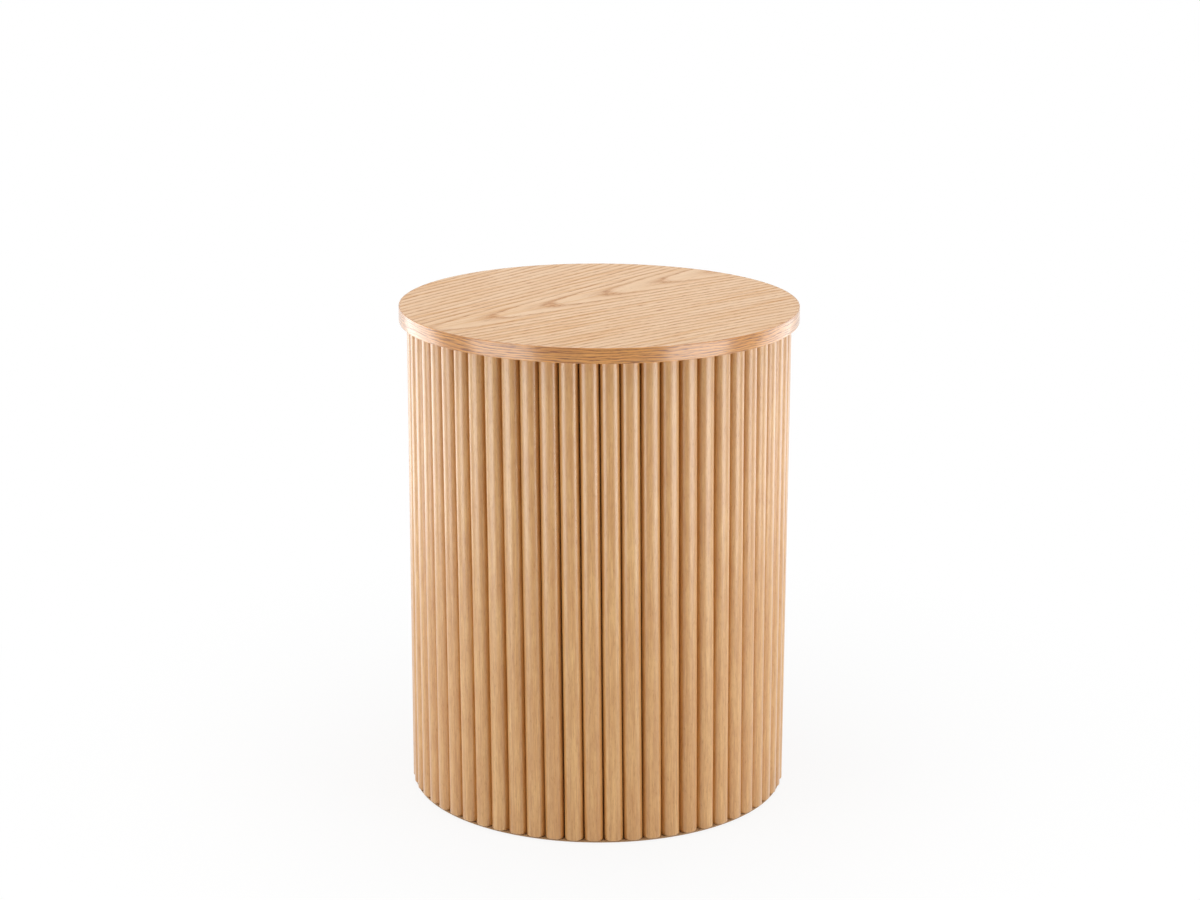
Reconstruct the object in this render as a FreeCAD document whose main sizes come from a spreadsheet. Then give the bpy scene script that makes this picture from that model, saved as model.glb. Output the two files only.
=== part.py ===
"""Drum side table, in mm: a round veneered top on a hollow drum that is faced with half-round slats.

+Z is up, the origin is on the floor under the middle of the table, and the front is -Y.
"""
import FreeCAD, Part
import os
import re
import Sketcher

os.makedirs("parts", exist_ok=True)
doc = FreeCAD.newDocument("drum_side_table")
sizes = doc.addObject("Spreadsheet::Sheet", "sizes")
derived = doc.addObject("App::VarSet", "derived")
homes = {}
parts = []

DRIVING = (
    ("table_height", 500),      # floor to the face of the top
    ("top_diameter", 400),
    ("top_overhang", 8),        # rim of the top beyond the crowns of the slats
    ("core_thickness", 14.6),
    ("veneer_thickness", 0.6),
    ("band_thickness", 0.8),    # strip bent round the rim
    ("band_seam", 0.2),         # open line where the strip's ends meet, at the back
    ("slat_count", 60),
    ("slat_gap", 0.55),         # between neighbouring slats, at their backs
    ("shell_thickness", 4),     # bent plywood that the slats are glued to
    ("shell_seam", 0.4),        # open line between the two halves of the shell
    ("ring_thickness", 18),
    ("ring_width", 40),
    ("batten_thickness", 18),   # upright behind a seam of the shell
    ("batten_width", 40),
    ("base_thickness", 18),
    ("plate_thickness", 1.5),   # thin disc that covers the foot of the drum, under the ends of the slats
    ("plate_inset", 2),         # edge of that disc in from the crowns of the slats
    ("foot_gap", 1),            # that disc above the floor
    ("pad_count", 4),
    ("pad_side", 24),
    ("pad_inset", 20),          # pad centres in from the edge of the base panel
    ("screw_count", 4),
    ("screw_diameter", 4),
    ("screw_head", 8),
    ("screw_head_height", 2.5),
    ("screw_edge", 12),         # screw centres in from the inner edge of the ring
    ("screw_fit", 0.2),         # hole round a screw's shank
    ("screw_cover", 4),         # board left beyond the end of a screw
    ("screw_relief", 1),        # blind hole beyond the end of a screw
    ("glue_line", 0.1),         # between curved faces that are glued
)
for row, (alias, value) in enumerate(DRIVING, 1):
    sizes.set("A%d" % row, str(value))
    sizes.setAlias("A%d" % row, alias)
    homes[alias] = "sizes."
doc.recompute()


def rule(text):
    """An expression, with each size's name led by the object that holds it."""
    return re.sub(r"[a-z_]+", lambda word: homes.get(word.group(), "") + word.group(), text)


def now(text):
    """What an expression comes to with the sizes as they stand."""
    return float(sizes.evalExpression(rule(text)))


def derive(name, text):
    derived.addProperty("App::PropertyFloat", name)
    derived.setExpression(name, rule(text))
    homes[name] = "derived."


# Heights, from the floor up.
derive("drum_under", "foot_gap + plate_thickness")
derive("base_over", "drum_under + base_thickness")
derive("top_under", "table_height - core_thickness - veneer_thickness")
derive("drum_length", "top_under - drum_under")
derive("upper_ring_under", "top_under - ring_thickness")
derive("bay", "(upper_ring_under - base_over - ring_thickness) / 2")
derive("middle_ring_under", "base_over + bay")

# Radii, from the rim in. A slat is a half-round bar, as deep as half its width.
derive("crown_radius", "top_diameter / 2 - top_overhang")
derive("slat_back", "(crown_radius + slat_gap / 2) / (1 + tan(180 deg / slat_count))")
derive("slat_radius", "crown_radius - slat_back")
derive("shell_outer", "slat_back - glue_line")
derive("shell_inner", "shell_outer - shell_thickness")
derive("former_radius", "shell_inner - glue_line")
derive("screw_circle", "former_radius - ring_width + screw_edge")
derive("pad_circle", "former_radius - pad_inset")
derive("core_radius", "top_diameter / 2 - band_thickness - glue_line")
doc.recompute()


def origin(body, role):
    return next(item for item in body.Origin.OriginFeatures if item.Role == role)


def new_body(label, height="0", turn="0"):
    """A sub-part, lifted to its height and turned about the table's axis."""
    body = doc.addObject("PartDesign::Body", label)
    body.Label = label
    body.AllowCompound = True
    body.Placement.Rotation = FreeCAD.Rotation(FreeCAD.Vector(0, 0, 1), 1)
    body.setExpression("Placement.Rotation.Angle", rule(turn))
    body.setExpression("Placement.Base.z", rule(height))
    parts.append(body)
    return body


def new_sketch(body, role="XY_Plane"):
    sketch = body.newObject("Sketcher::SketchObject", body.Label + "_sketch")
    sketch.AttachmentSupport = [(origin(body, role), "")]
    sketch.MapMode = "FlatFace"
    return sketch


def tie(sketch, *where):
    return sketch.addConstraint(Sketcher.Constraint(*where))


def hold(sketch, text, *where):
    """A dimension of a sketch that follows an expression."""
    sketch.setExpression("Constraints[%d]" % tie(sketch, *where, now(text)), rule(text))


def add_circle(sketch, diameter, away="0"):
    """A circle on the sketch's middle, or away from it along X."""
    middle = FreeCAD.Vector(now(away), 0, 0)
    item = sketch.addGeometry(Part.Circle(middle, FreeCAD.Vector(0, 0, 1), now(diameter) / 2))
    tie(sketch, "PointOnObject", item, 3, -1)
    hold(sketch, away, "DistanceX", -1, 1, item, 3)
    hold(sketch, diameter, "Diameter", item)


def add_pad(body, sketch, length):
    pad = body.newObject("PartDesign::Pad", body.Label + "_pad")
    pad.Profile = sketch
    pad.setExpression("Length", rule(length))
    return pad


def add_disc(label, height, diameter, thickness, bore=None):
    """A round panel, or a ring where it has a bore."""
    body = new_body(label, height)
    sketch = new_sketch(body)
    for across in filter(None, (diameter, bore)):
        add_circle(sketch, across)
    add_pad(body, sketch, thickness)
    return body


def add_turned(body, corners, away="0", angle="360"):
    """A turned solid: corners are (radius, height) pairs about an upright axis at X = away."""
    sketch = new_sketch(body, "XZ_Plane")
    foot = FreeCAD.Vector(now(away), 0, 0)
    axis = sketch.addGeometry(Part.LineSegment(foot, foot + FreeCAD.Vector(0, 1, 0)), True)
    tie(sketch, "Vertical", axis)
    tie(sketch, "PointOnObject", axis, 1, -1)
    tie(sketch, "DistanceY", axis, 1, axis, 2, 1)
    hold(sketch, away, "DistanceX", -1, 1, axis, 1)
    spots = [FreeCAD.Vector(now(away) + now(radius), now(height), 0) for radius, height in corners]
    sides = [sketch.addGeometry(Part.LineSegment(start, end))
             for start, end in zip(spots, spots[1:] + spots[:1])]
    for side, last, (radius, height) in zip(sides, sides[-1:] + sides, corners):
        tie(sketch, "Coincident", last, 2, side, 1)
        hold(sketch, "%s + %s" % (away, radius), "DistanceX", -1, 1, side, 1)
        hold(sketch, height, "DistanceY", -1, 1, side, 1)
    turned = body.newObject("PartDesign::Revolution", body.Label + "_turned")
    turned.Profile = sketch
    turned.ReferenceAxis = (sketch, ["Axis0"])
    turned.setExpression("Angle", rule(angle))
    return turned


def add_pattern(body, feature, count, angle="360"):
    """Copies of a body's feature about the table's axis."""
    pattern = body.newObject("PartDesign::PolarPattern", body.Label + "_pattern")
    pattern.Originals = [feature]
    pattern.Axis = (origin(body, "Z_Axis"), [""])
    pattern.setExpression("Angle", rule(angle))
    pattern.setExpression("Occurrences", rule(count))
    body.Tip = pattern


def add_screw_holes(body, depth):
    """Holes for the top's screws, from the underside of a panel up."""
    sketch = new_sketch(body)
    sketch.AttachmentOffset.Rotation = FreeCAD.Rotation(FreeCAD.Vector(0, 0, 1), 1)
    sketch.setExpression("AttachmentOffset.Rotation.Angle", rule("180 / screw_count"))
    add_circle(sketch, "screw_diameter + 2 * screw_fit", "screw_circle")
    pocket = body.newObject("PartDesign::Pocket", body.Label + "_pocket")
    pocket.Profile = sketch
    pocket.Reversed = True
    pocket.setExpression("Length", rule(depth))
    add_pattern(body, pocket, "screw_count")


# Square felt pads under the foot plate keep it just clear of the floor.
for index in range(int(now("pad_count"))):
    bearing = "((%d + 0.5) * 360 deg / pad_count)" % index
    foot_pad = new_body("foot_pad_%d" % (index + 1), "0", bearing)
    sketch = new_sketch(foot_pad)
    half = now("pad_side / 2")
    corners = [FreeCAD.Vector(*spot) for spot in ((-half, -half), (half, -half), (half, half), (-half, half))]
    for start, end in zip(corners, corners[1:] + corners[:1]):
        sketch.addGeometry(Part.LineSegment(start, end))
    for side in range(4):
        tie(sketch, "Coincident", side, 2, (side + 1) % 4, 1)
        tie(sketch, ("Horizontal", "Vertical")[side % 2], side)
    tie(sketch, "Symmetric", 0, 1, 1, 2, -1, 1)
    hold(sketch, "pad_side", "DistanceX", 0, 1, 0, 2)
    hold(sketch, "pad_side", "DistanceY", 1, 1, 1, 2)
    add_pad(foot_pad, sketch, "foot_gap")
    foot_pad.setExpression("Placement.Base.x", rule("pad_circle * cos" + bearing))
    foot_pad.setExpression("Placement.Base.y", rule("pad_circle * sin" + bearing))

# The foot plate is a thin disc pinned under the drum, as wide as the slats, which stand on it.
add_disc("foot_plate", "foot_gap", "2 * (crown_radius - plate_inset)", "plate_thickness")

# The base panel and two rings are the formers that give the drum its round.
add_disc("base_panel", "drum_under", "2 * former_radius", "base_thickness")
ring_bore = "2 * (former_radius - ring_width)"
add_disc("middle_ring", "middle_ring_under", "2 * former_radius", "ring_thickness", ring_bore)
upper_ring = add_disc("upper_ring", "upper_ring_under", "2 * former_radius", "ring_thickness", ring_bore)
add_screw_holes(upper_ring, "ring_thickness")

# Battens stand between the formers behind the two seams of the shell, coped to its curve.
for level, height in (("lower", "base_over"), ("upper", "middle_ring_under + ring_thickness")):
    for hand, turn in (("right", "0"), ("left", "180")):
        batten = new_body("batten_%s_%s" % (level, hand), height, turn)
        sketch = new_sketch(batten)
        crown, half = now("former_radius"), now("batten_width / 2")
        inner, outer = crown - now("batten_thickness"), (crown ** 2 - half ** 2) ** 0.5
        corners = [FreeCAD.Vector(*spot) for spot in ((outer, half), (inner, half), (inner, -half), (outer, -half))]
        sketch.addGeometry(Part.Arc(corners[3], FreeCAD.Vector(crown, 0, 0), corners[0]))
        for start, end in zip(corners, corners[1:]):
            sketch.addGeometry(Part.LineSegment(start, end))
        for side in range(4):
            tie(sketch, "Coincident", side, 2, (side + 1) % 4, 1)
        tie(sketch, "Coincident", 0, 3, -1, 1)
        tie(sketch, "Horizontal", 1)
        tie(sketch, "Horizontal", 3)
        tie(sketch, "Symmetric", 2, 1, 2, 2, -1)
        hold(sketch, "former_radius", "Radius", 0)
        hold(sketch, "batten_width", "DistanceY", 2, 2, 2, 1)
        hold(sketch, "former_radius - batten_thickness", "DistanceX", -1, 1, 2, 1)
        add_pad(batten, sketch, "bay")

# The shell is two half cylinders of bent plywood whose edges meet on the battens.
seam_angle = "(shell_seam / shell_outer * 180 / pi)"
for face, turn in (("back", "0"), ("front", "180")):
    shell = new_body("shell_" + face, "drum_under", "%s + %s / 2" % (turn, seam_angle))
    add_turned(shell, [("shell_inner", "0"), ("shell_outer", "0"), ("shell_outer", "drum_length"),
                       ("shell_inner", "drum_length")], angle="180 - " + seam_angle)

# Half-round slats stand side by side round the shell, glued on by their flat backs. Each is a
# bar of its own, and each twelfth of the drum is one group of them.
for group in range(12):
    first, after = ("floor(%d * slat_count / 12)" % number for number in (group, group + 1))
    count = "(%s - %s)" % (after, first)
    slats = new_body("slats_%02d" % (group + 1), "drum_under", first + " * 360 / slat_count")
    sketch = new_sketch(slats)
    back, radius = now("slat_back"), now("slat_radius")
    corners = FreeCAD.Vector(back, -radius, 0), FreeCAD.Vector(back, radius, 0)
    sketch.addGeometry(Part.Arc(corners[0], FreeCAD.Vector(back + radius, 0, 0), corners[1]))
    sketch.addGeometry(Part.LineSegment(corners[1], corners[0]))
    tie(sketch, "Coincident", 0, 2, 1, 1)
    tie(sketch, "Coincident", 1, 2, 0, 1)
    tie(sketch, "PointOnObject", 0, 3, -1)
    tie(sketch, "PointOnObject", 0, 3, 1)
    tie(sketch, "Vertical", 1)
    hold(sketch, "slat_radius", "Radius", 0)
    hold(sketch, "slat_back", "DistanceX", -1, 1, 0, 3)
    bar = add_pad(slats, sketch, "drum_length")
    add_pattern(slats, bar, count, "(%s - 1) * 360 / slat_count" % count)

# The top: a board faced with veneer, a strip bent round its rim, and screws up through the ring.
top_core = add_disc("top_core", "top_under", "2 * core_radius", "core_thickness")
add_screw_holes(top_core, "core_thickness - screw_cover + screw_relief")
add_disc("top_face_veneer", "table_height - veneer_thickness", "2 * core_radius", "veneer_thickness")
edge_band = new_body("top_edge_band", "top_under", "90")
inside, rim, depth = "core_radius + glue_line", "top_diameter / 2", "core_thickness + veneer_thickness"
add_turned(edge_band, [(inside, "0"), (rim, "0"), (rim, depth), (inside, depth)],
           angle="360 - band_seam / top_diameter * 360 / pi")
screws = new_body("top_screws", "upper_ring_under - screw_head_height", "180 / screw_count")
shank = "screw_diameter / 2"
tip = "screw_head_height + ring_thickness + core_thickness - screw_cover"
screw = add_turned(screws, [
    ("0", "0"), ("screw_head / 2", "0"), ("screw_head / 2", "screw_head_height"),
    (shank, "screw_head_height"), (shank, tip), ("0", tip)], "screw_circle")
add_pattern(screws, screw, "screw_count")

doc.recompute()
for item in doc.Objects:
    if {"Invalid", "Error"} & set(item.State):
        raise RuntimeError("%s did not build: %s" % (item.Label, item.State))
for part in parts:
    if part.Shape.isNull() or not part.Shape.isValid() or not part.Shape.Solids:
        raise RuntimeError("%s has no valid solid" % part.Label)
    part.Shape.exportStep("parts/%s.step" % part.Label)
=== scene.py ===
import math
import random

import bpy
from mathutils import Matrix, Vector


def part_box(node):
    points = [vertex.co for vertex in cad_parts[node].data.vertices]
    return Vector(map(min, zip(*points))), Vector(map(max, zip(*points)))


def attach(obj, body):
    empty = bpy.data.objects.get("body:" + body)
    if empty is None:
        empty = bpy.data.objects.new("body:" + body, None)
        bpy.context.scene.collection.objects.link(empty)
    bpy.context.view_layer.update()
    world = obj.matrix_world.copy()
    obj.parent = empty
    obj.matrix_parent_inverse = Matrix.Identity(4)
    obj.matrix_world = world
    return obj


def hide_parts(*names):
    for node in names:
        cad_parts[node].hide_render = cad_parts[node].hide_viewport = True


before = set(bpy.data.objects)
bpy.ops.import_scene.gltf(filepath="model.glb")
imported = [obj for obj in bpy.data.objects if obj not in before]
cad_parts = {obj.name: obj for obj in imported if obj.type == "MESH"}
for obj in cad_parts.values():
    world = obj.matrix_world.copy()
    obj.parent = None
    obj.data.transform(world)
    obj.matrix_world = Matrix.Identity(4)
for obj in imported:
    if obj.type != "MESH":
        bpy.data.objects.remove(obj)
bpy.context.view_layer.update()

bpy.context.scene.view_settings.view_transform = "Standard"


# Foot plate and base panel. The plate is a thin disc of fibreboard pinned under the drum, and its edge
# shows below the slats. The panel on it is the lowest former. The CAD's shapes stay.

class Wire:
    """One socket of a finish. Sums on it add Math nodes, and node() adds any other node."""

    def __init__(self, tree, socket=None):
        self.tree = tree
        self.socket = socket

    def node(self, kind, settings=None, plugs=None, out=0):
        made = self.tree.nodes.new("ShaderNode" + kind)
        for name, value in (settings or {}).items():
            setattr(made, name, value)
        for name, value in (plugs or {}).items():
            if isinstance(value, Wire):
                self.tree.links.new(value.socket, made.inputs[name])
            else:
                made.inputs[name].default_value = value
        return Wire(self.tree, made.outputs[out] if made.outputs else None)

    def sum(self, operation, *others):
        return self.node("Math", {"operation": operation}, dict(enumerate((self, *others))))

    def __add__(self, other):
        return self.sum("ADD", other)

    def __sub__(self, other):
        return self.sum("SUBTRACT", other)

    def __rsub__(self, other):
        return self.node("Math", {"operation": "SUBTRACT"}, {0: other, 1: self})

    def __mul__(self, other):
        return self.sum("MULTIPLY", other)

    def __truediv__(self, other):
        return self.sum("DIVIDE", other)

    def __pow__(self, other):
        return self.sum("POWER", other)

    __radd__ = __add__
    __rmul__ = __mul__


def new_finish(name):
    """An empty material, and the wire that its nodes start from."""
    material = bpy.data.materials.new(name)
    material.use_nodes = True
    material.node_tree.nodes.clear()
    return material, Wire(material.node_tree)


def screen(red, green, blue):
    """A colour by its screen values, 0 to 255, as the linear colour that a socket takes."""
    parts = [v / 255 for v in (red, green, blue)]
    return tuple(v / 12.92 if v < 0.04 else ((v + 0.055) / 1.055) ** 2.4 for v in parts) + (1.0,)


def noise(place, per_metre, detail=2.0, rough=0.5):
    """Cloudy values round one half, with so many lumps to the metre."""
    return place.node("TexNoise", {}, {
        "Vector": place, "Scale": per_metre, "Detail": detail, "Roughness": rough})


def mapped(place, scale=(1, 1, 1), turn=0.0, shift=(0, 0, 0)):
    """A place that is scaled, turned round the upright and moved. A small scale draws grain out."""
    return place.node("Mapping", {}, {
        "Vector": place, "Scale": scale, "Rotation": (0, 0, turn), "Location": shift})


def step(value, low, high):
    """0 below low, 1 above high, and smooth between."""
    return value.node("MapRange", {"interpolation_type": "SMOOTHSTEP"}, {
        "Value": value, "From Min": low, "From Max": high})


def blend_over(share, under, over):
    """One colour with a share of another over it. Mix has its colours at 6 and 7, and gives one at 2."""
    return share.node("Mix", {"data_type": "RGBA"}, {0: share, 6: under, 7: over}, 2)


def lay(start, colour, roughness, height, depth, **plugs):
    """The surface of a finish: its colour, its roughness, and a bump of that depth in metres."""
    bump = start.node("Bump", {}, {"Strength": 1.0, "Distance": depth, "Height": height})
    shader = start.node("BsdfPrincipled", {}, {
        "Base Color": colour, "Roughness": roughness, "Normal": bump, **plugs})
    start.node("OutputMaterial", {}, {"Surface": shader})


def dress(material, *nodes):
    """Gives CAD nodes that keep their shape a finish."""
    for node in nodes:
        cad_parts[node].data.materials.clear()
        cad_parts[node].data.materials.append(material)


fibreboard, start = new_finish("fibreboard")
place = start.node("TexCoord", out="Object")
fibres = noise(mapped(place, (1, 1, 2.5)), 1100, detail=4, rough=0.7)
clouds = noise(place, 45, detail=3)
colour = blend_over(step(fibres, 0.36, 0.66), screen(146, 110, 76), screen(196, 162, 122))
colour = blend_over(step(clouds, 0.3, 0.7) * 0.35, colour, screen(168, 128, 88))
lay(start, colour, 0.78 + fibres * 0.15, fibres, depth=0.0002, **{"Specular IOR Level": 0.25})
dress(fibreboard, "foot_plate", "base_panel")


# Middle ring and upper ring. Flat rings of birch plywood hold the drum round, and the top is screwed to
# the upper one. They are sawn from sheet, so the plies show as stripes on their edges.
# The CAD's shapes stay.

ply_pitch = 0.0018


def measure(place, axis):
    """One of the three measures of a place."""
    return place.node("SeparateXYZ", {}, {"Vector": place}, axis)


former_plywood, start = new_finish("former_plywood")
place = start.node("TexCoord", out="Object")
ply = measure(place, "Z") / (2 * ply_pitch)
layer = step(ply.sum("PINGPONG", 0.5), 0.2, 0.3)
figure = noise(mapped(place, (0.05, 1, 1)), 260, detail=4, rough=0.6)
colour = blend_over(step(figure, 0.3, 0.7), screen(196, 160, 116), screen(222, 190, 148))
colour = blend_over(layer * 0.45, colour, screen(150, 108, 70))
lay(start, colour, 0.6 + figure * 0.2, figure, depth=0.00015, **{"Specular IOR Level": 0.3})
dress(former_plywood, "middle_ring", "upper_ring")


# Battens. Four short uprights of planed softwood back the two seams of the shell, between the formers.
# They are glued in. The CAD's shapes stay.

batten_ring = 0.0032
batten_sway = 0.006

batten_softwood, start = new_finish("batten_softwood")
place = start.node("TexCoord", out="Object")
sway = noise(mapped(place, (1, 1, 0.1)), 60)
across = measure(place, "Y") + sway * batten_sway
late_wood = (across / batten_ring).sum("FRACT") ** 3
fibres = noise(mapped(place, (1, 1, 0.03)), 900, detail=3, rough=0.6)
colour = blend_over(late_wood * 0.7, screen(226, 192, 144), screen(190, 136, 82))
colour = blend_over(step(fibres, 0.4, 0.75) * 0.25, colour, screen(168, 118, 72))
lay(start, colour, 0.62 + fibres * 0.15, fibres, depth=0.0001, **{"Specular IOR Level": 0.3})
dress(batten_softwood, "batten_lower_right", "batten_lower_left",
      "batten_upper_right", "batten_upper_left")


# Shell. Two half-cylinders of thin plywood, bent with the face grain upright, are glued round the formers.
# The slats are glued to them, and they show only at the bottom of the gaps. Their dark brown is painted
# shade for the bottom of the gaps. The CAD's shapes stay.

bent_plywood, start = new_finish("bent_plywood")
place = start.node("TexCoord", out="Object")
figure = noise(mapped(place, (1, 1, 0.03)), 380, detail=4, rough=0.6)
# Painted shade: the plywood is given a dark brown that stands for the shade at the bottom of the gaps.
colour = blend_over(step(figure, 0.3, 0.7), screen(92, 60, 36), screen(124, 84, 52))
lay(start, colour, 0.65 + figure * 0.15, figure, depth=0.0001, **{"Specular IOR Level": 0.25})
dress(bent_plywood, "shell_back", "shell_front")


# Slats. Sixty half-round bars of pale hardwood, sanded and lacquered satin, are glued upright round the
# shell. Their shoulders are left a little full and their ends are eased. They are set by hand, so they
# lean a little, and no gap is quite like the next.

slat_count = 60
slats_in_group = 5
slat_radius = 0.0093
slat_back = 0.1827
slat_foot = 0.0027
slat_head = 0.4846
slat_length = slat_head - slat_foot
slat_middle = (slat_head + slat_foot) / 2
slat_arc = 12
slat_full = 0.55
slat_rows = 12
slat_ease = 0.0011
# How far out from the flat back of a bar its painted groove shade reaches.
groove_shade_reach = 0.0018
slat_lean = math.radians(0.714)
lean_spread = math.radians(0.03)
bow_spread = 0.00022
shift_spread = 0.00012
grain_apart = {"X": 0.31, "Y": 0.17, "Z": 0.71}
sliver = 0.00001
sliver_weld = 0.0001
hair = 0.000001


def started(name, scale=(1, 1, 1), turn=(0, 0, 0)):
    """The primitive that was just added, under its own name, with its size and place in its mesh."""
    piece = bpy.context.active_object
    piece.name = piece.data.name = name
    piece.scale = scale
    piece.rotation_euler = turn
    bpy.ops.object.transform_apply(location=True, rotation=True, scale=True)
    return piece


def pick(piece, kind, wanted):
    """Selects the edges or faces that wanted says, and leaves the piece open for the next tool."""
    bpy.ops.object.mode_set(mode="EDIT")
    bpy.ops.mesh.select_mode(type={"edges": "EDGE", "polygons": "FACE"}[kind])
    bpy.ops.mesh.select_all(action="DESELECT")
    bpy.ops.object.mode_set(mode="OBJECT")
    for part in getattr(piece.data, kind):
        part.select = wanted([piece.data.vertices[v].co for v in part.vertices])
    bpy.ops.object.mode_set(mode="EDIT")


def clean(degrees):
    """Ends the work on the open piece: merges what meets, turns faces outwards and smooths rounds."""
    bpy.ops.mesh.select_all(action="SELECT")
    bpy.ops.mesh.remove_doubles(threshold=hair)
    bpy.ops.mesh.normals_make_consistent(inside=False)
    bpy.ops.object.mode_set(mode="OBJECT")
    bpy.ops.object.shade_smooth_by_angle(angle=math.radians(degrees))


bpy.ops.object.select_all(action="DESELECT")
bpy.ops.mesh.primitive_cube_add(size=1, location=(slat_back + slat_radius / 2, 0, slat_middle))
slat = started("slat", (slat_radius, 2 * slat_radius, slat_length))
pick(slat, "edges", lambda ends: ends[0].y == ends[1].y and all(
    p.x > slat_back + slat_radius / 2 for p in ends))
# The rounding stops a sliver short of the back and of the crown, and the weld closes both.
bpy.ops.mesh.bevel(offset=slat_radius - sliver, segments=slat_arc, profile=slat_full)
bpy.ops.mesh.select_all(action="SELECT")
bpy.ops.mesh.remove_doubles(threshold=sliver_weld)
pick(slat, "edges", lambda ends: abs(ends[0].z - ends[1].z) > slat_length / 2)
bpy.ops.mesh.subdivide(number_cuts=slat_rows - 1)
pick(slat, "edges", lambda ends: max(p.x for p in ends) > slat_back + sliver and all(
    min(p.z - slat_foot, slat_head - p.z) < sliver for p in ends))
bpy.ops.mesh.bevel(offset=slat_ease, segments=3, profile=0.5)
clean(35)

slat_hardwood, start = new_finish("slat_hardwood")
place = start.node("Attribute", {"attribute_name": "bar_place"}, out="Vector")
number = start.node("Attribute", {"attribute_name": "bar_number"}, out="Fac")
height = measure(place, "X") - slat_back
apart = number.node("CombineXYZ", {}, {axis: number * far for axis, far in grain_apart.items()})
place = place.node("VectorMath", {"operation": "ADD"}, {0: place, 1: apart})
tone = number.node("TexWhiteNoise", {"noise_dimensions": "1D"}, {"W": number})
streaks = noise(mapped(place, (1, 1, 0.03)), 330, detail=3, rough=0.55)
fibres = noise(mapped(place, (1, 1, 0.05)), 900, detail=3, rough=0.6)
flecks = noise(mapped(place, (1, 1, 0.1)), 520, rough=0.6)
pores = step(noise(mapped(place, (1, 1, 0.14)), 1300, detail=1), 0.60, 0.70)
clouds = noise(mapped(place, (1, 1, 0.35)), 70, detail=3)
colour = blend_over(step(streaks, 0.32, 0.68), screen(202, 147, 77), screen(226, 178, 110))
colour = blend_over(step(clouds, 0.35, 0.7) * 0.5, colour, screen(198, 138, 67))
colour = blend_over(tone * 0.4, colour, screen(195, 134, 65))
colour = blend_over(step(flecks, 0.40, 0.66) * 0.35, colour, screen(180, 120, 57))
colour = blend_over(step(fibres, 0.52, 0.74) * 0.4, colour, screen(172, 111, 49))
colour = blend_over(step(1 - fibres, 0.52, 0.74) * 0.35, colour, screen(237, 190, 126))
colour = blend_over(pores * 0.2, colour, screen(132, 82, 38))
# Painted shade: each bar is darkened to a deep brown near its flat back, deep in the gaps between the
# bars, where shade falls.
colour = blend_over((1 - step(height, 0.0, groove_shade_reach)) * 0.5, colour, screen(104, 58, 24))
lay(start, colour, 0.42 + fibres * 0.1, fibres - pores * 0.6, depth=0.000015, **{
    "Specular IOR Level": 0.5,
    "Coat Weight": 1 - pores * 0.4, "Coat Roughness": 0.31, "Coat IOR": 1.65})

draw = random.Random(60)
# Each bar keeps the place that its points had before it was bowed and leaned, so the grain follows it.
for group in range(slat_count // slats_in_group):
    bars = []
    for number_of_bar in range(group * slats_in_group, (group + 1) * slats_in_group):
        bar = bpy.data.objects.new("bar", slat.data.copy())
        bpy.context.scene.collection.objects.link(bar)
        bar.data.attributes.new("bar_place", "FLOAT_VECTOR", "POINT")
        bar.data.attributes.new("bar_number", "FLOAT", "POINT")
        bow, swell = (draw.uniform(-bow_spread, bow_spread) for _ in range(2))
        shift = draw.uniform(-shift_spread, shift_spread)
        lean = slat_lean + draw.uniform(-lean_spread, lean_spread)
        for i, vertex in enumerate(bar.data.vertices):
            bar.data.attributes["bar_place"].data[i].vector = vertex.co
            bar.data.attributes["bar_number"].data[i].value = number_of_bar
            along = (vertex.co.z - slat_foot) / slat_length
            vertex.co.y += shift + bow * math.sin(math.pi * along) + swell * math.sin(2 * math.pi * along)
        middle = Matrix.Translation((0, 0, slat_middle))
        turn = Matrix.Rotation(2 * math.pi * number_of_bar / slat_count, 4, "Z")
        bar.data.transform(turn @ middle @ Matrix.Rotation(lean, 4, "X") @ middle.inverted())
        bars.append(bar)
    bpy.ops.object.select_all(action="DESELECT")
    for bar in bars:
        bar.select_set(True)
    bpy.context.view_layer.objects.active = bars[0]
    bpy.ops.object.join()
    bars[0].name = bars[0].data.name = f"slat_group_{group + 1:02d}"
    bars[0].data.materials.clear()
    bars[0].data.materials.append(slat_hardwood)
    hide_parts(f"slats_{group + 1:02d}")
    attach(bars[0], "root")
bpy.data.objects.remove(slat)


# Top board. A disc of fibreboard carries the face veneer and the edge strip, and overhangs the slats.
# It is sawn round and sanded. The CAD's shape stays.

dress(fibreboard, "top_core")


# Face veneer. One leaf of flat-cut oak is pressed on the board, its figure a nested tongue that runs
# from the left of the front to the back. It is sanded, then lacquered satin.

face_radius = 0.1991
face_low = 0.4994
face_high = 0.5
face_arc = 256
face_inset = 0.03
face_ring = 0.0097
face_sway = 0.008
face_ragged = 0.0045
grain_turn = math.radians(47.8)
tongue_axis = 0.026
tongue_blunt = 0.018
tongue_nose = 3
tongue_slope = 0.12
tongue_start = 0.62

bpy.ops.object.select_all(action="DESELECT")
bpy.ops.mesh.primitive_circle_add(
    vertices=face_arc, radius=face_radius, fill_type="NGON", location=(0, 0, face_low))
face = started("top_face")
pick(face, "polygons", lambda corners: True)
bpy.ops.mesh.extrude_region_move(TRANSFORM_OT_translate={"value": (0, 0, face_high - face_low)})
bpy.ops.mesh.inset(thickness=face_inset)
clean(35)


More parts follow.
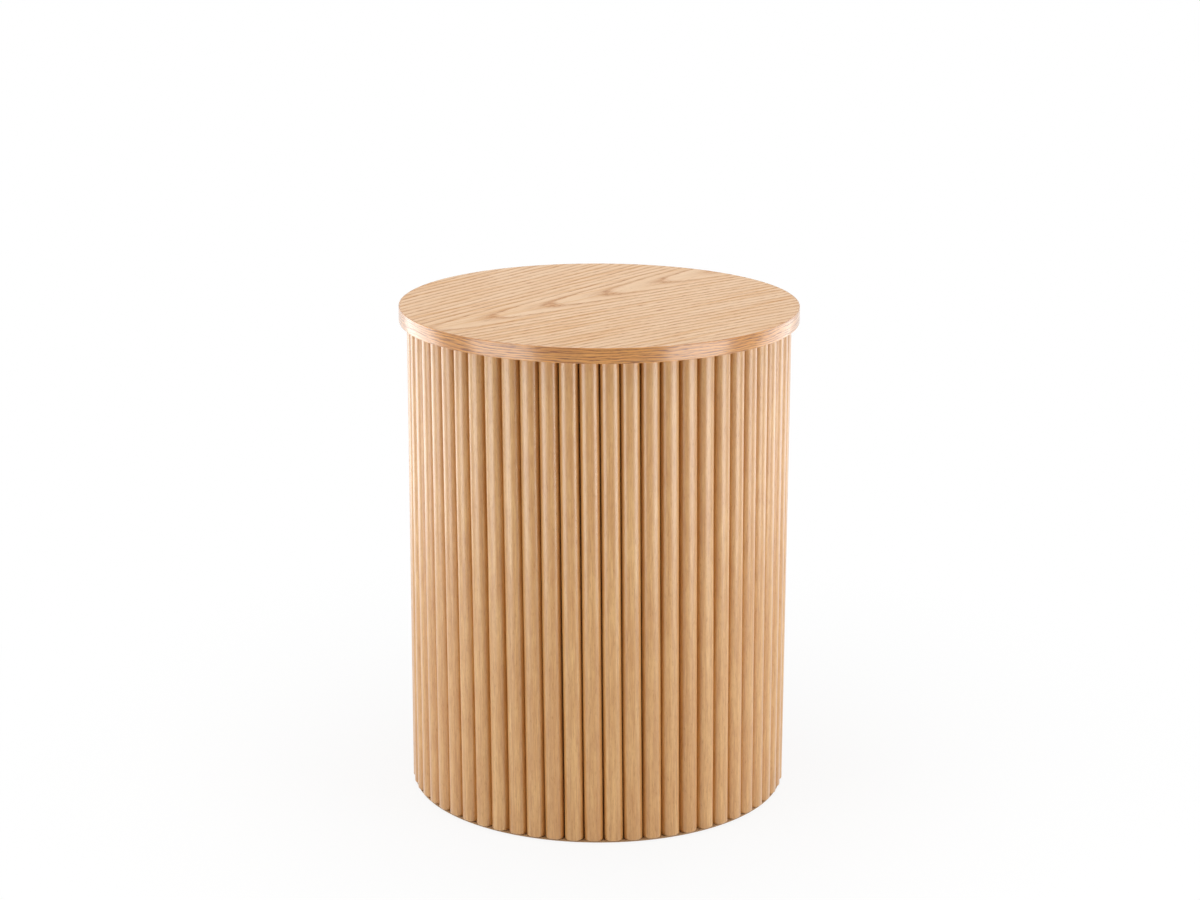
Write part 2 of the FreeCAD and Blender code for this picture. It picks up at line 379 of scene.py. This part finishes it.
def oak(start, rings, along, tint, **lacquer):
    """Lacquered oak. rings counts the growth rings, and along is a place stretched with the grain.
    The open pores of each ring's early wood are darker and break the shine."""
    ring = rings.sum("FRACT")
    year = rings.node("TexWhiteNoise", {"noise_dimensions": "1D"}, {"W": rings.sum("FLOOR")})
    early = ((1 - ring) ** tint["sharp"] + step(ring, 0.78, 1.0)) * (0.7 + year * 0.3)
    dashes = noise(mapped(along, (0.07, 1, 1)), 1100, rough=0.6)
    pores = step(dashes, 0.52, 0.62) * (0.15 + early * 0.85)
    fibres = noise(mapped(along, (0.02, 1, 1)), 900, detail=3, rough=0.6)
    lines = step(noise(mapped(along, (0.03, 1, 1)), tint["lines"], detail=3, rough=0.6), 0.48, 0.68)
    clouds = noise(mapped(along, (0.15, 1, 1)), 60)
    band = early * (0.4 + step(dashes, 0.3, 0.62) * 0.6)
    colour = blend_over(step(clouds, 0.3, 0.7), tint["pale"], tint["warm"])
    colour = blend_over(step(fibres, 0.35, 0.75) * 0.45, colour, tint["fibre"])
    colour = blend_over(lines * 0.6, colour, tint["fibre"])
    colour = blend_over(band * tint["contrast"], colour, tint["ring"])
    colour = blend_over(pores * 0.6, colour, tint["pore"])
    dull = 0.25 + fibres * 0.06 + lines * 0.1 + band * 0.2 + pores * 0.1
    lay(start, colour, dull, fibres * 0.3 - pores, depth=0.00002, **lacquer)


oak_veneer, start = new_finish("oak_veneer")
place = start.node("TexCoord", out="Object")
along = mapped(place, turn=-grain_turn, shift=(0, -tongue_axis, 0))
sway = noise(mapped(along, (0.22, 1, 1)), 40)
ragged = noise(mapped(along, (0.07, 1, 1)), 520, detail=3, rough=0.65)
across = measure(along, "Y") + (sway - 0.5) * face_sway
side = (across.sum("ABSOLUTE") ** tongue_nose + tongue_blunt ** tongue_nose) ** (1 / tongue_nose)
tongue = side - measure(along, "X") * tongue_slope
rings = (tongue + (ragged - 0.5) * face_ragged) / face_ring + tongue_start
# The top's tints are paler and less saturated than the edge strip's, though both are one oak: the paler
# top is partly the oak's own colour and partly a painted reflection of the pale surroundings.
oak(start, rings, along, {
    "pale": screen(235, 194, 146), "warm": screen(229, 184, 130), "fibre": screen(210, 154, 86),
    "ring": screen(174, 108, 36), "pore": screen(130, 74, 22),
    "contrast": 1.0, "sharp": 4.0, "lines": 150})
face.data.materials.append(oak_veneer)
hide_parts("top_face_veneer")
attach(face, "root")


# Edge strip. A thin strip of oak with its grain lengthwise is bent round the rim of the top and glued,
# and its ends meet at the back. Its two arrises are eased with a block.

strip_inner = 0.1992
strip_outer = 0.2
strip_low = 0.4848
strip_high = 0.5
strip_seam = 0.0002
strip_open = strip_seam / strip_outer
strip_ease = 0.0005
strip_arc = 255
strip_ring = 0.003
strip_sway = 0.012
strip_ragged = 0.0015

bpy.ops.object.select_all(action="DESELECT")
bpy.ops.mesh.primitive_plane_add(
    size=1, location=((strip_outer + strip_inner) / 2, 0, (strip_high + strip_low) / 2))
strip = started(
    "edge_strip", (strip_outer - strip_inner, strip_high - strip_low, 1), (math.pi / 2, 0, 0))
pick(strip, "edges", lambda ends: min(p.x for p in ends) > strip_outer - hair)
bpy.ops.mesh.bevel(offset=strip_ease, segments=3, affect="VERTICES")
bpy.ops.mesh.select_all(action="SELECT")
bpy.ops.mesh.spin(steps=strip_arc, angle=2 * math.pi - strip_open, center=(0, 0, 0), axis=(0, 0, 1))
pick(strip, "edges", lambda ends: all(abs(p.y) < hair and p.x > 0 for p in ends))
bpy.ops.mesh.edge_face_add()
clean(35)
strip.data.transform(Matrix.Rotation(math.pi / 2 + strip_open / 2, 4, "Z"))
strip.data.attributes.new("round_rim", "FLOAT_VECTOR", "POINT")
for i, vertex in enumerate(strip.data.vertices):
    bearing = (math.atan2(vertex.co.y, vertex.co.x) - math.pi / 2) % (2 * math.pi)
    strip.data.attributes["round_rim"].data[i].vector = (
        bearing * strip_outer, vertex.co.z, math.hypot(vertex.co.x, vertex.co.y))

oak_edging, start = new_finish("oak_edging")
along = start.node("Attribute", {"attribute_name": "round_rim"}, out="Vector")
sway = noise(mapped(along, (0.12, 1, 1)), 90)
ragged = noise(mapped(along, (0.1, 1, 1)), 500, detail=3, rough=0.6)
height = measure(along, "Y")
rings = (height + (sway - 0.5) * strip_sway + (ragged - 0.5) * strip_ragged) / strip_ring
# The edge strip's tints are darker and more saturated than the top's, though both are one oak: this is
# partly the oak's own colour and partly painted shade on the upright rim.
oak(start, rings, along, {
    "pale": screen(236, 167, 78), "warm": screen(228, 157, 68), "fibre": screen(201, 125, 45),
    "ring": screen(130, 68, 18), "pore": screen(96, 48, 14),
    "contrast": 0.95, "sharp": 1.6, "lines": 420},
    **{"Specular IOR Level": 0.3, "Coat Weight": 1.0, "Coat Roughness": 0.22, "Coat IOR": 1.6})
strip.data.materials.append(oak_edging)
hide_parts("top_edge_band")
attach(strip, "root")


# Top screws. Four zinc-plated screws come up through the upper ring into the board and hold the top.
# They are sealed inside the drum. The CAD's shapes stay.

zinc_steel, start = new_finish("zinc_steel")
place = start.node("TexCoord", out="Object")
spangle = noise(place, 900, detail=3, rough=0.6)
colour = blend_over(step(spangle, 0.3, 0.7), screen(168, 168, 166), screen(206, 206, 202))
lay(start, colour, 0.28 + spangle * 0.2, spangle, depth=0.00004, Metallic=1.0)
dress(zinc_steel, "top_screws")


# Foot pads. Four squares cut from pressed grey-brown felt are stuck under the foot plate, each turned to
# face the middle. They hold the table just off the floor, and their cut edges are a little uneven.

pad_side = 0.0238
pad_thick = 0.001
pad_reach = 0.1585
pad_corner = 0.0012
pad_ease = 0.0003
pad_rows = 12
pad_fray = 0.0001

bpy.ops.object.select_all(action="DESELECT")
bpy.ops.mesh.primitive_cube_add(size=1, location=(pad_reach, 0, pad_thick / 2))
pad = started("pad", (pad_side, pad_side, pad_thick))
pick(pad, "edges", lambda ends: abs(ends[0].z - ends[1].z) > pad_thick / 2)
bpy.ops.mesh.bevel(offset=pad_corner, segments=3, profile=0.5)
pick(pad, "edges", lambda ends: abs(ends[0].z - ends[1].z) < hair and (
    (ends[0] - ends[1]).length > pad_side / 2))
bpy.ops.mesh.subdivide(number_cuts=pad_rows - 1)
pick(pad, "edges", lambda ends: abs(ends[0].z - ends[1].z) < hair and all(
    max(abs(p.x - pad_reach), abs(p.y)) > pad_side / 2 - pad_corner for p in ends))
bpy.ops.mesh.bevel(offset=pad_ease, segments=2, profile=0.5)
clean(50)

felt, start = new_finish("felt")
place = start.node("TexCoord", out="Object")
tufts = noise(place, 1600, detail=4, rough=0.75)
clouds = noise(place, 220)
colour = blend_over(step(tufts, 0.35, 0.68), screen(84, 76, 68), screen(128, 118, 106))
colour = blend_over(step(clouds, 0.4, 0.7) * 0.4, colour, screen(104, 94, 84))
lay(start, colour, 0.9 + tufts * 0.1, tufts, depth=0.0004, **{"Specular IOR Level": 0.1})

for node in ("foot_pad_1", "foot_pad_2", "foot_pad_3", "foot_pad_4"):
    low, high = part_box(node)
    bearing = math.atan2(low[1] + high[1], low[0] + high[0])
    square = bpy.data.objects.new(f"felt_{node}", pad.data.copy())
    square.data.name = square.name
    bpy.context.scene.collection.objects.link(square)
    for vertex in square.data.vertices:
        vertex.co.x += draw.uniform(-pad_fray, pad_fray)
        vertex.co.y += draw.uniform(-pad_fray, pad_fray)
    square.data.transform(Matrix.Rotation(bearing, 4, "Z"))
    square.data.materials.append(felt)
    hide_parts(node)
    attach(square, "root")
bpy.data.objects.remove(pad)


# Floor, light and camera. The floor is pale and the sky is even and faint. Two low soft boxes stand at
# each side, and a large one hangs overhead. The camera stands where the photograph was taken from.

floor_size = 40.0
floor_white = 0.85
floor_glow = 0.87
shade_near = 0.2
shade_far = 0.8
sky_level = 0.1
side_box = (0.65, 0.56)
side_reach = 1.0
side_height = 0.29
top_box = (2.0, 2.0)
top_height = 2.6
camera_lens = 82.485
camera_sensor = 36
camera_distance = 2.7849
camera_target = (0.0012, 0, 0.34772)
camera_rise = math.radians(15.204)
camera_roll = math.radians(0.187)
camera_turn = math.radians(2.016)


def seen(start):
    """1 for what the camera, a shine or a clear piece shows, and 0 for what only gives light."""
    rays = [start.node("LightPath", out=name) for name in
            ("Is Camera Ray", "Is Glossy Ray", "Is Transmission Ray")]
    return rays[0].sum("MAXIMUM", rays[1]).sum("MAXIMUM", rays[2])


bpy.ops.object.select_all(action="DESELECT")
bpy.ops.mesh.primitive_plane_add(size=floor_size, location=(0, 0, 0))
floor = started("floor")
pale_floor, start = new_finish("pale_floor")
place = start.node("TexCoord", out="Object")
away = step(place.node("VectorMath", {"operation": "LENGTH"}, {0: place}, "Value"), shade_near, shade_far)
share = seen(start) * (floor_glow + away * (1 - floor_glow))
shade = start.node("BsdfDiffuse", {}, {"Color": (floor_white, floor_white, floor_white, 1)})
glow = start.node("Emission", {}, {"Color": (1, 1, 1, 1), "Strength": 1.0})
both = start.node("MixShader", {}, {0: share, 1: shade, 2: glow})
start.node("OutputMaterial", {}, {"Surface": both})
floor.data.materials.append(pale_floor)

sky = bpy.data.worlds.new("even_sky")
sky.use_nodes = True
sky.node_tree.nodes.clear()
start = Wire(sky.node_tree)
light = start.node("Background", {}, {
    "Color": (1, 1, 1, 1), "Strength": sky_level + seen(start) * (1 - sky_level)})
start.node("OutputWorld", {}, {"Surface": light})
bpy.context.scene.world = sky


def hang(name, watts, size, spot, tilt, bearing=0):
    """A soft box at a spot as the camera sees it, tilted up from face down, then swung round the table."""
    lamp = bpy.data.lights.new(name, "AREA")
    lamp.shape = "RECTANGLE"
    lamp.size, lamp.size_y = size
    lamp.energy = watts
    soft_box = bpy.data.objects.new(name, lamp)
    bpy.context.scene.collection.objects.link(soft_box)
    soft_box.matrix_world = (
        Matrix.Rotation(math.radians(bearing) + camera_turn, 4, "Z")
        @ Matrix.Translation(spot)
        @ Matrix.Rotation(math.radians(tilt), 4, "X"))


for name, watts, bearing in (
        ("left_box", 3.6, -52), ("right_box", 4.2, 53),
        ("left_rear_box", 2.7, -115), ("right_rear_box", 1.7, 115)):
    hang(name, watts, side_box, (0, -side_reach, side_height), 90, bearing)
hang("top_box", 50.0, top_box, (0, 0, top_height), 0)

view = bpy.data.cameras.new("view")
view.lens = camera_lens
view.sensor_width = camera_sensor
camera = bpy.data.objects.new("view", view)
bpy.context.scene.collection.objects.link(camera)
camera.matrix_world = (
    Matrix.Rotation(camera_turn, 4, "Z")
    @ Matrix.Translation(camera_target)
    @ Matrix.Rotation(math.pi / 2 - camera_rise, 4, "X")
    @ Matrix.Translation((0, 0, camera_distance))
    @ Matrix.Rotation(camera_roll, 4, "Z"))
bpy.context.scene.camera = camera

bpy.context.view_layer.update()
